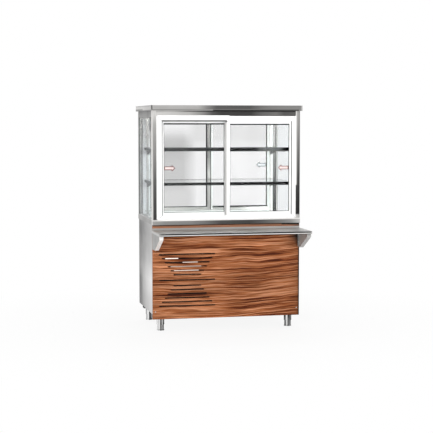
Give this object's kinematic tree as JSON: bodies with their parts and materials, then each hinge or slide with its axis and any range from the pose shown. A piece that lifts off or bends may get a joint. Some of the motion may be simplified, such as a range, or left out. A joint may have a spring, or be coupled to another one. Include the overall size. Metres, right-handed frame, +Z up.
{
  "type": "refrigerated display counter",
  "caption": "Refrigerated display counter: steel and wood base on legs, tray slide, glass case with sliding doors and glass shelves.",
  "frame": {"origin": "centre of the bounding box at floor level", "axes": "+X to the right seen from the customer side, +Y towards the staff side, +Z up"},
  "size_m": [1.22, 1.117, 1.784],
  "materials": {
    "brushed_steel": "satin",
    "satin_steel": "satin",
    "panel_steel": "satin",
    "leg_steel": "polished",
    "dark_frame": "satin",
    "wood": "satin",
    "insulated_wall": "satin",
    "pot_black": "satin",
    "fin_aluminium": "satin",
    "galvanised": "satin",
    "black_plastic": "matte",
    "red_plastic": "gloss",
    "copper": "satin",
    "white_metal": "satin",
    "lamp_white": "satin",
    "white_profile": "gloss",
    "roller_grey": "satin",
    "clear_glass": "gloss",
    "shelf_glass": "gloss"
  },
  "bodies": {
    "counter": {"leg_front_left": "leg_steel", "leg_front_right": "leg_steel", "leg_rear_left": "leg_steel", "leg_rear_right": "leg_steel", "leg_rails": "dark_frame", "side_panel_left": "panel_steel", "side_panel_right": "panel_steel", "base_floor": "panel_steel", "front_panel": "wood", "screws": "satin_steel", "back_panel": "panel_steel", "rear_grille": "panel_steel", "worktop": "brushed_steel", "cold_well": "insulated_wall", "deck_plate": "brushed_steel", "tray_slide": "brushed_steel", "tray_bracket_left": "brushed_steel", "tray_bracket_right": "brushed_steel", "compressor": "pot_black", "condenser_coil": "fin_aluminium", "coil_hood": "galvanised", "fan_shroud": "black_plastic", "copper_pipe": "copper", "evaporator": "fin_aluminium", "control_box": "black_plastic", "service_fittings": "black_plastic", "post_front_left": "satin_steel", "post_front_right": "satin_steel", "post_rear_left": "satin_steel", "post_rear_right": "satin_steel", "top_canopy": "satin_steel", "ceiling_panel": "white_metal", "fascia": "satin_steel", "side_rails": "satin_steel", "side_glass_left": "clear_glass", "side_glass_right": "clear_glass", "glass_spacers": "black_plastic", "light_bar": "lamp_white", "front_frame": "white_profile", "rear_frame": "white_profile", "shelf_uprights": "satin_steel", "shelf_arms": "satin_steel", "shelf_edges": "dark_frame", "shelf_lower": "shelf_glass", "shelf_upper": "shelf_glass"},
    "front_left_door": {"door_front_left": "white_profile", "pane_front_left": "clear_glass", "rollers_front_left": "roller_grey"},
    "front_right_door": {"door_front_right": "white_profile", "pane_front_right": "clear_glass", "rollers_front_right": "roller_grey"},
    "rear_left_door": {"door_rear_left": "white_profile", "pane_rear_left": "clear_glass", "rollers_rear_left": "roller_grey"},
    "rear_right_door": {"door_rear_right": "white_profile", "pane_rear_right": "clear_glass", "rollers_rear_right": "roller_grey"},
    "condenser_fan_wheel": {"condenser_fan": "black_plastic"},
    "evaporator_fan_wheel": {"evaporator_fan": "black_plastic"},
    "rocker": {"power_switch": "red_plastic"}
  },
  "joints": [
    {"name": "slide_front_left", "type": "slide", "parent": "counter", "child": "front_left_door", "axis": [1, 0, 0], "range_m": [0, 0.5]},
    {"name": "slide_front_right", "type": "slide", "parent": "counter", "child": "front_right_door", "axis": [1, 0, 0], "range_m": [-0.5, 0]},
    {"name": "slide_rear_left", "type": "slide", "parent": "counter", "child": "rear_left_door", "axis": [1, 0, 0], "range_m": [0, 0.5]},
    {"name": "slide_rear_right", "type": "slide", "parent": "counter", "child": "rear_right_door", "axis": [1, 0, 0], "range_m": [-0.5, 0]},
    {"name": "condenser_fan_spin", "type": "hinge", "parent": "counter", "child": "condenser_fan_wheel", "pos_m": [-0.36, -0.0705, 0.3048], "axis": [0, 1, 0], "continuous": true},
    {"name": "evaporator_fan_spin", "type": "hinge", "parent": "counter", "child": "evaporator_fan_wheel", "pos_m": [-0.035, 0.263, 0.7852], "axis": [0, 1, 0], "continuous": true},
    {"name": "rocker_tilt", "type": "hinge", "parent": "counter", "child": "rocker", "pos_m": [0.361, 0.4995, 0.781], "axis": [1, 0, 0], "range_deg": [0, 14]}
  ]
}
